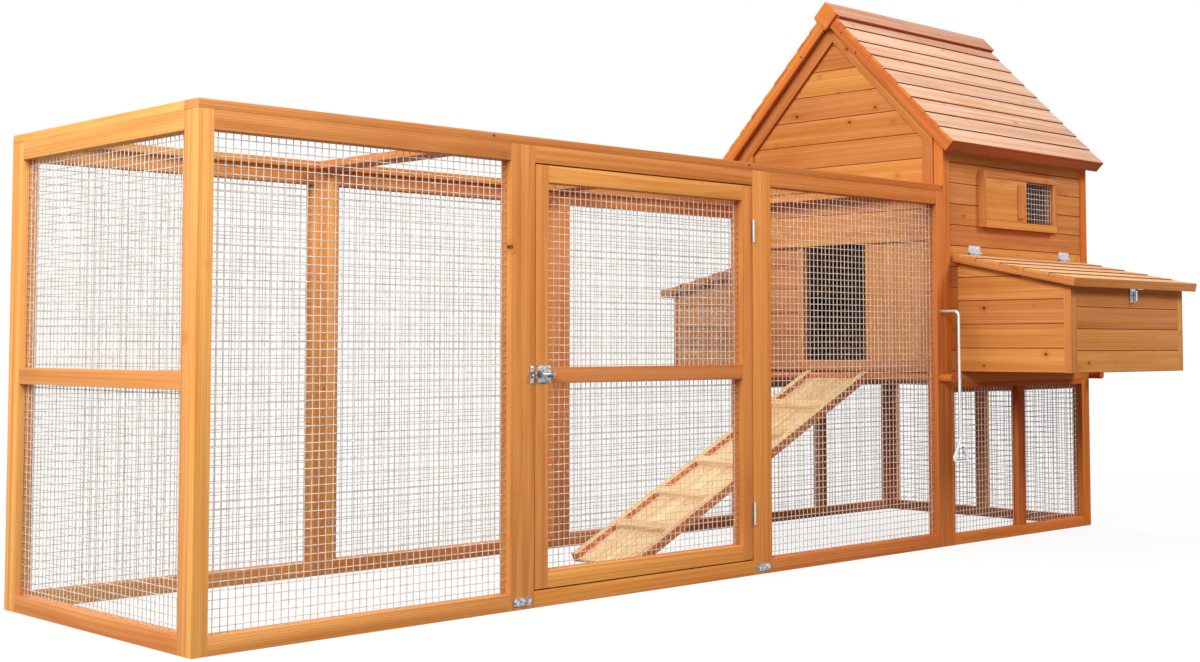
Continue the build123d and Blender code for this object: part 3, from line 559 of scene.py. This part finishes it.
class Boards:
    """The points, faces and grain of the boards in one wooden node."""

    def __init__(self):
        self.points = []
        self.faces = []
        self.grain = []
        self.point_values = {"tone": [], "run_to_house": []}
        self.face_values = {"edge": [], "under": []}
        self.paints = []

    def add_points(self, board, axes, chance):
        """Adds a board's points, whose grain has a pith, a start and a tone of its own."""
        middle = sum((vert.co for vert in board.verts), Vector()) / len(board.verts)
        turn = chance.uniform(0, 2 * math.pi)
        pith = chance.uniform(PITH_NEAR, PITH_FAR)
        start = Vector((chance.uniform(0, GRAIN_LENGTH), pith * math.cos(turn), pith * math.sin(turn)))
        tone = chance.random()
        for vert in board.verts:
            self.points.append(vert.co.copy())
            self.grain.extend(Vector([(vert.co - middle).dot(axis) for axis in axes]) + start)
            self.point_values["tone"].append(tone)
            self.point_values["run_to_house"].append(stain_at(vert.co.x))

    def add_faces(self, board, axes, eased, kind, rim, reach):
        """Adds the faces of the board whose points came last."""
        board.verts.index_update()
        first = len(self.points) - len(board.verts)
        for face in board.faces:
            self.faces.append([first + vert.index for vert in face.verts])
            self.face_values["edge"].append(edge_kind(face, axes, eased, "frame" if rim else kind, reach))
            # How much painted shade the face gets for looking down
            self.face_values["under"].append(shade_below(face, kind))
            self.paints.append(int(rim or second_paint(face, axes, kind)))

    def mesh(self, name):
        """The mesh, with what its paint reads stored on its points and faces."""
        mesh = bpy.data.meshes.new(name)
        mesh.from_pydata(self.points, [], self.faces)
        mesh.attributes.new("grain", "FLOAT_VECTOR", "POINT").data.foreach_set("vector", self.grain)
        for label, values in self.point_values.items():
            mesh.attributes.new(label, "FLOAT", "POINT").data.foreach_set("value", values)
        for label, values in self.face_values.items():
            mesh.attributes.new(label, "FLOAT", "FACE").data.foreach_set("value", values)
        smooth(mesh, WOOD_CREASE)
        return mesh


def timber(node, material, ease, kind, second=None):
    """Replaces a wooden node by the same boards with eased edges and their own grain.

    A second paint is for the ends and undersides of slats, for a lid's rims, and for those faces of the
    ramp that don't look up. The first paint carries a painted sheen on slats and a painted highlight on the
    ramp.
    """
    low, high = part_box(node)
    reach = max(high[1], -low[1])
    boards = Boards()
    for index, shell in enumerate(shells(node)):
        rim = kind == "lid" and index >= LID_SLATS
        board = solid(shell)
        axes = board_axes(board)
        eased = ease_edges(board, ease)
        boards.add_points(board, axes, random.Random(BOARD_SEED + node + str(index)))
        boards.add_faces(board, axes, eased, kind, rim, reach)
        board.free()
    mesh = boards.mesh(node + "_look")
    stand_in(node, mesh, material)
    if second is not None:
        mesh.materials.append(second)
        mesh.polygons.foreach_set("material_index", boards.paints)


def metalwork(node, material, ease):
    """Replaces a metal node by the same shape with eased edges and smooth round faces."""
    whole = bmesh.new()
    for shell in shells(node):
        part = solid(shell)
        ease_edges(part, ease)
        mesh = bpy.data.meshes.new("part")
        part.to_mesh(mesh)
        whole.from_mesh(mesh)
        bpy.data.meshes.remove(mesh)
        part.free()
    mesh = bpy.data.meshes.new(node + "_look")
    whole.to_mesh(mesh)
    whole.free()
    smooth(mesh, METAL_CREASE)
    stand_in(node, mesh, material)


def wire(points, faces, start, end, chance):
    """Adds one straight wire, very slightly uneven, between two points."""
    along = (end - start).normalized()
    side = along.orthogonal().normalized()
    other = along.cross(side)
    steps = max(2, round((end - start).length / WIRE_STEP))
    first = len(points)
    for step in range(steps + 1):
        centre = start.lerp(end, step / steps)
        if 0 < step < steps:
            centre = centre + side * chance.uniform(-1, 1) * WIRE_WOBBLE * WOBBLE_ASIDE
            centre = centre + other * chance.uniform(-1, 1) * WIRE_WOBBLE
        for corner in range(WIRE_SIDES):
            turn = 2 * math.pi * corner / WIRE_SIDES
            points.append(centre + (side * math.cos(turn) + other * math.sin(turn)) * WIRE_RADIUS)
    for step in range(steps):
        low = first + step * WIRE_SIDES
        high = low + WIRE_SIDES
        for corner in range(WIRE_SIDES):
            turned = (corner + 1) % WIRE_SIDES
            faces.append([low + corner, low + turned, high + turned, high + corner])
    faces.append([first + corner for corner in reversed(range(WIRE_SIDES))])
    faces.append([first + steps * WIRE_SIDES + corner for corner in range(WIRE_SIDES)])


def sheet_wires(points, faces, shell, chance):
    """Adds the two layers of wire of one flat sheet."""
    low, high = [Vector(corner) for corner in shell_box(shell)]
    size = high - low
    thin = min(range(3), key=lambda axis: size[axis])
    flat = [axis for axis in range(3) if axis != thin]
    for layer, (run, across) in enumerate((flat, flat[::-1])):
        count = max(1, round(size[across] / WIRE_PITCH))
        for index in range(count + 1):
            start = low.copy()
            start[thin] = (low[thin] + high[thin]) / 2 + (layer - 0.5) * (size[thin] - 2 * WIRE_RADIUS)
            start[across] = low[across] + WIRE_RADIUS + (size[across] - 2 * WIRE_RADIUS) * index / count
            end = start.copy()
            end[run] = high[run]
            wire(points, faces, start, end, chance)


def netting(node, material):
    """Replaces a net by its welded wires."""
    points = []
    faces = []
    chance = random.Random(node)
    for shell in shells(node):
        sheet_wires(points, faces, shell, chance)
    mesh = bpy.data.meshes.new(node + "_look")
    mesh.from_pydata(points, [], faces)
    smooth(mesh, WIRE_CREASE)
    stand_in(node, mesh, material)


def circle(made, radius, height, place):
    """A level circle of points on a screw head."""
    corners = []
    for index in range(SCREW_SIDES):
        turn = 2 * math.pi * index / SCREW_SIDES
        spot = Vector((radius * math.cos(turn), radius * math.sin(turn), height))
        corners.append(made.verts.new(place @ spot))
    return corners


def cross(made, height, place):
    """The outline of a cross recess."""
    arm = RECESS_ARM * SCREW_RADIUS
    half = RECESS_HALF * SCREW_RADIUS
    corners = []
    for index in range(4):
        turn = Matrix.Rotation(index * math.pi / 2, 2)
        for x, y in ((arm, -half), (arm, half), (half, half)):
            spot = turn @ Vector((x, y))
            corners.append(made.verts.new(place @ Vector((spot.x, spot.y, height))))
    return corners


def loop_edges(made, corners):
    """The edges of a closed loop of points."""
    pairs = zip(corners, corners[1:] + corners[:1])
    return [made.edges.get(pair) or made.edges.new(pair) for pair in pairs]


def screw(made, spot, normal, turn):
    """Adds a low domed screw head with a cross recess, on a surface."""
    facing = normal.to_track_quat("Z", "Y").to_matrix().to_4x4()
    place = Matrix.Translation(spot) @ facing @ Matrix.Rotation(turn, 4, "Z")
    loops = [
        circle(made, SCREW_RADIUS, 0.0, place),
        circle(made, SCREW_RIM * SCREW_RADIUS, SCREW_RISE, place),
        cross(made, SCREW_RISE, place),
        cross(made, RECESS_FLOOR * SCREW_RISE, place),
    ]
    edges = [loop_edges(made, loop) for loop in loops]
    for outer, inner in zip(edges, edges[1:]):
        bmesh.ops.bridge_loops(made, edges=outer + inner)
    made.faces.new(loops[-1])


def screws(name, spots, material, body):
    """One piece that holds all screws of a group, given as places and normals."""
    made = bmesh.new()
    chance = random.Random(name)
    for spot, normal in spots:
        screw(made, Vector(spot), Vector(normal), chance.uniform(0, math.pi / 2))
    bmesh.ops.recalc_face_normals(made, faces=made.faces[:])
    mesh = bpy.data.meshes.new(name)
    made.to_mesh(mesh)
    made.free()
    smooth(mesh, SCREW_CREASE)
    new_piece(name, mesh, material, body)


def cap_screws():
    """Screws through the edge of the long top boards, near the seams."""
    low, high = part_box("run_caps")
    level = low[2] + CAP_SCREW_LEVEL * (high[2] - low[2])
    spots = []
    for x in CAP_SCREW_X:
        spots.append(((x, low[1], level), (0, -1, 0)))
        spots.append(((x, high[1], level), (0, 1, 0)))
    return spots


def barge_screws():
    """Screws in the outer faces of the barge boards below the ridge."""
    low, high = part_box("barge_boards")
    spots = []
    for y, z in BARGE_SCREW_YZ:
        spots.append(((low[0], y, z), (-1, 0, 0)))
        spots.append(((high[0], -y, z), (1, 0, 0)))
    return spots


def hinge_screws():
    """Two screws in each wall leaf of the lid hinges."""
    spots = []
    for shell in shells("lid_hinge_fixed"):
        low, high = shell_box(shell)
        outward = -1 if high[1] < 0 else 1
        face = high[1] - LEAF_THICK if high[1] < 0 else low[1] + LEAF_THICK
        for share in LEAF_SCREW_SHARES:
            x = low[0] + share * (high[0] - low[0])
            spots.append(((x, face, high[2] - LEAF_SCREW_DROP), (0, outward, 0)))
    return spots


def plate_screws(node, columns):
    """Screws near the corners of a plate on the front, in one or two columns."""
    low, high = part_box(node)
    face = high[1] - PLATE_THICK
    places = [(low[0] + high[0]) / 2]
    if columns == 2:
        places = [low[0] + PLATE_INSET, high[0] - PLATE_INSET]
    spots = []
    for x in places:
        for z in (low[2] + PLATE_INSET, high[2] - PLATE_INSET):
            spots.append(((x, face, z), (0, -1, 0)))
    return spots


def white_for_camera(tree):
    """A value that is 1 for rays from the camera and for what metal shows, otherwise 0."""
    path = tree.nodes.new("ShaderNodeLightPath")
    total = path.outputs["Is Camera Ray"]
    for name in ("Is Glossy Ray", "Is Transmission Ray"):
        join = tree.nodes.new("ShaderNodeMath")
        join.operation = "MAXIMUM"
        tree.links.new(total, join.inputs[0])
        tree.links.new(path.outputs[name], join.inputs[1])
        total = join.outputs[0]
    return total


def make_world():
    """Dim warm light from all around, where the camera sees white."""
    world = bpy.data.worlds.new("studio")
    bpy.context.scene.world = world
    world.use_nodes = True
    tree = world.node_tree
    lit = tree.nodes["Background"]
    lit.inputs["Color"].default_value = WORLD_TINT
    lit.inputs["Strength"].default_value = WORLD_LIGHT
    seen = tree.nodes.new("ShaderNodeBackground")
    seen.inputs["Color"].default_value = WHITE
    mix = tree.nodes.new("ShaderNodeMixShader")
    tree.links.new(white_for_camera(tree), mix.inputs[0])
    tree.links.new(lit.outputs[0], mix.inputs[1])
    tree.links.new(seen.outputs[0], mix.inputs[2])
    tree.links.new(mix.outputs[0], tree.nodes["World Output"].inputs["Surface"])


def floor_paint():
    """White to the camera, with a faint shadow near the object, and dark to the light that it throws back."""
    paint = Paint("white_floor")
    seen = white_for_camera(paint.tree)
    paint.feed(paint.shader.inputs["Base Color"], paint.mix(seen, FLOOR_BOUNCE, FLOOR_SEEN))
    paint.feed(paint.shader.inputs["Roughness"], FLOOR_ROUGH)
    paint.feed(paint.shader.inputs["Specular IOR Level"], 0.0)
    glow = paint.node("Emission", {"Color": WHITE, "Strength": 1.0})
    place = paint.node("NewGeometry", {}).outputs["Position"]
    far = paint.rise(paint.length(place), FLOOR_NEAR, FLOOR_FAR)
    share = paint.math("MULTIPLY", seen, paint.range(far, FLOOR_GLOW, 1.0))
    mix = paint.node("MixShader", {0: share, 1: paint.shader.outputs[0], 2: glow.outputs[0]})
    paint.feed(paint.tree.nodes["Material Output"].inputs["Surface"], mix.outputs[0])
    return paint.material


def make_floor():
    """The floor, which isn't part of the object."""
    half = FLOOR_SIZE / 2
    corners = [(-half, -half, 0), (half, -half, 0), (half, half, 0), (-half, half, 0)]
    mesh = bpy.data.meshes.new("floor")
    mesh.from_pydata(corners, [], [(0, 1, 2, 3)])
    floor = bpy.data.objects.new("floor", mesh)
    bpy.context.scene.collection.objects.link(floor)
    mesh.materials.append(floor_paint())


def lamp(name, place, target, size, power):
    """A square soft lamp, with its size in metres and its power in watts."""
    data = bpy.data.lights.new(name, "AREA")
    data.size = size
    data.energy = power
    made = bpy.data.objects.new(name, data)
    bpy.context.scene.collection.objects.link(made)
    aim = Vector(target) - Vector(place)
    made.location = place
    made.rotation_euler = aim.to_track_quat("-Z", "Y").to_euler()


def make_camera():
    """The camera at the photograph's place, with its focal length and framing."""
    data = bpy.data.cameras.new("camera")
    data.sensor_fit = "HORIZONTAL"
    data.sensor_width = SENSOR_WIDTH
    data.lens = FOCAL_PIXELS * SENSOR_WIDTH / PHOTO_WIDTH
    data.shift_x = (PHOTO_WIDTH / 2 - AXIS_PIXEL[0]) / PHOTO_WIDTH
    data.shift_y = (AXIS_PIXEL[1] - PHOTO_HEIGHT / 2) / PHOTO_WIDTH
    camera = bpy.data.objects.new("camera", data)
    bpy.context.scene.collection.objects.link(camera)
    level = math.cos(CAMERA_PITCH)
    ahead = Vector((math.sin(CAMERA_YAW) * level, math.cos(CAMERA_YAW) * level, math.sin(CAMERA_PITCH)))
    right = ahead.cross(Vector((0, 0, 1))).normalized()
    above = right.cross(ahead)
    turn = Matrix((right, above, -ahead)).transposed()
    camera.matrix_world = Matrix.Translation(CAMERA_PLACE) @ turn.to_4x4()
    bpy.context.scene.camera = camera


# Paints of wood, with a tone at the run's end of the object and one at the house's
timber_paint = wood("stained_timber_grain", screen(220, 154, 81), screen(218, 122, 46),
                    spread=0.13, knot_cell=TIMBER_KNOTS)
board_paint = wood("stained_board_grain", screen(172, 88, 28), screen(219, 149, 77),
                   spread=0.11, knot_cell=BOARD_KNOTS)
# Roof, ridge and lid: the timber's colour made paler by a painted sheen of the bright sky
roof_sheen_paint = wood("pale_roof_grain_painted_sheen", screen(218, 178, 142), screen(218, 178, 142),
                  spread=0.06, knot_cell=ROOF_KNOTS)
ridge_sheen_paint = wood("ridge_grain_painted_sheen", screen(200, 152, 118), screen(200, 152, 118),
                   spread=0.03, knot_cell=TIMBER_KNOTS)
lid_sheen_paint = wood("lid_grain_painted_sheen", screen(225, 179, 127), screen(225, 179, 127),
                 spread=0.06, knot_cell=ROOF_KNOTS)
# Ramp: the timber's orange made pale as a painted highlight of light from above
ramp_highlight_paint = wood("ramp_grain_painted_highlight", screen(243, 212, 150), screen(240, 203, 132),
                  spread=0.06, knot_cell=TIMBER_KNOTS)

# Paints of metal, with the size of their flakes in metres
wire_paint = zinc("galvanised_wire", screen(220, 214, 203), screen(186, 181, 171),
                  rough=0.4, cell=0.012, metal=0.35)
plate_paint = zinc("zinc_plate", screen(214, 216, 221), screen(178, 181, 187),
                   rough=0.28, cell=0.004, metal=1.0)
worn_paint = zinc("worn_zinc_plate", screen(204, 206, 210), screen(104, 106, 110),
                  rough=0.32, cell=0.004, metal=1.0)
rod_paint = zinc("bright_plated_steel", screen(232, 233, 235), screen(206, 208, 213),
                 rough=0.24, cell=0.05, metal=1.0)
screw_paint = zinc("dark_screw", screen(96, 82, 74), screen(58, 48, 42),
                   rough=0.4, cell=0.002, metal=0.8)

# The object's pieces
for node in FRAMES:
    timber(node, timber_paint, FRAME_EASE, "frame")
for node in BOARDS:
    timber(node, board_paint, BOARD_EASE, "board")
# Slats' upper faces carry the painted sheen; their ends, undersides and the lids' rims take the orange paint
for node in ROOFING:
    timber(node, roof_sheen_paint, BOARD_EASE, "slat", timber_paint)
for node in LIDS:
    timber(node, lid_sheen_paint, BOARD_EASE, "lid", board_paint)
timber("ridge_cap", ridge_sheen_paint, BOARD_EASE, "slat", timber_paint)
# The deck and the rails' upward faces carry the painted highlight; the rails' other faces take the timber
# paint
timber("ramp_rails", ramp_highlight_paint, BOARD_EASE, "ramp", timber_paint)
timber("ramp_deck", ramp_highlight_paint, BOARD_EASE, "ramp")
for node in NETS:
    netting(node, wire_paint)
for node in FITTINGS:
    metalwork(node, plate_paint, METAL_EASE)
for node in WORN_FITTINGS:
    metalwork(node, worn_paint, METAL_EASE)
metalwork("connector_bolts", plate_paint, BOLT_EASE)
metalwork("pull_rod", rod_paint, METAL_EASE)
screws("cap_screws", cap_screws(), screw_paint, "coop")
screws("barge_screws", barge_screws(), screw_paint, "coop")
screws("lid_hinge_screws", hinge_screws(), plate_paint, "coop")
screws("bolt_plate_screws", plate_screws("bolt_plate", 2), plate_paint, "run_door")
screws("bolt_keeper_screws", plate_screws("bolt_keeper", 1), plate_paint, "coop")

# Stage: white floor, soft lamps and the camera
bpy.context.scene.view_settings.view_transform = "Standard"
make_world()
make_floor()
lamp("key", place=(5.6, -7.0, 7.0), target=(0.4, 0.0, 0.7), size=3.0, power=590.0)
lamp("side", place=(-6.5, -2.0, 4.0), target=(-0.6, 0.0, 0.6), size=3.0, power=310.0)
lamp("inner", place=(-6.5, 0.6, 4.5), target=(0.4, 0.2, 0.6), size=2.0, power=200.0)
lamp("fill", place=(-2.7, -2.6, 2.1), target=(-1.2, 0.0, 0.5), size=1.0, power=38.0)
lamp("top", place=(0.6, 0.3, 6.5), target=(0.3, 0.0, 0.0), size=3.0, power=100.0)
lamp("back", place=(3.0, 7.0, 4.5), target=(0.2, 0.0, 0.6), size=3.0, power=330.0)
make_camera()
